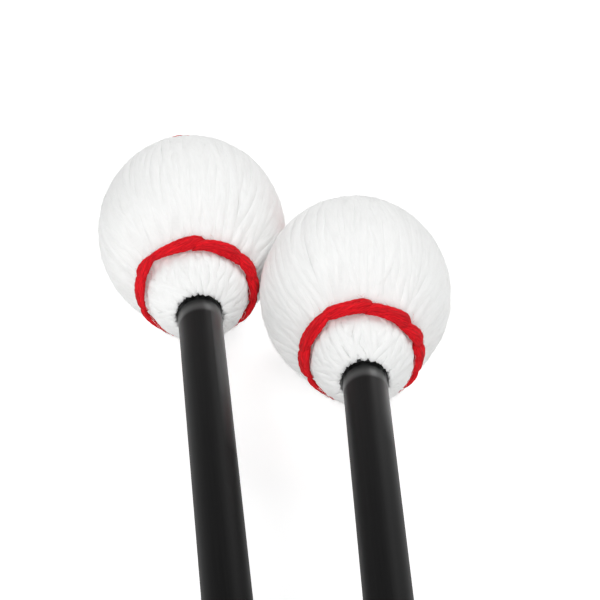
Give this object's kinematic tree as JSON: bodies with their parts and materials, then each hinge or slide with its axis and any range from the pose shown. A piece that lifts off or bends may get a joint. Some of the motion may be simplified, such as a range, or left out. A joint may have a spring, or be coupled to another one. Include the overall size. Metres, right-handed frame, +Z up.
{
  "type": "marimba mallet pair",
  "caption": "Pair of yarn mallets lying side by side: slim black tapered rods with oval white wound yarn heads, gathered at both ends by rings of red stitching.",
  "frame": {"origin": "bottom centre of the bounding box of the pair as it lies on the ground", "axes": "+Z up, +Y from the butts towards the heads, +X from the left mallet towards the right one"},
  "size_m": [0.0694, 0.4242, 0.038],
  "materials": {
    "shaft": "satin black fibreglass rod, smooth, with soft highlights",
    "rubber": "matt black moulded rubber",
    "latex": "pale tan latex, hidden under the yarn",
    "inner_yarn": "off-white wound yarn, hidden under the outer yarn",
    "white_yarn": "soft white yarn strands, matt and slightly fuzzy",
    "red_yarn": "bright red yarn, matt, in overlapping stitches"
  },
  "bodies": {
    "left_mallet": {"left_shaft": "shaft", "left_core": "rubber", "left_latex_wrap": "latex", "left_yarn_underlayer": "inner_yarn", "left_yarn_cover": "white_yarn", "left_shaft_stitching": "red_yarn", "left_crown_stitching": "red_yarn"},
    "right_mallet": {"right_shaft": "shaft", "right_core": "rubber", "right_latex_wrap": "latex", "right_yarn_underlayer": "inner_yarn", "right_yarn_cover": "white_yarn", "right_shaft_stitching": "red_yarn", "right_crown_stitching": "red_yarn"}
  },
  "joints": [
    {"name": "right_mallet_lift", "type": "slide", "parent": "left_mallet", "child": "right_mallet", "axis": [0, 0, 1], "range_m": [0, 0.12]}
  ]
}
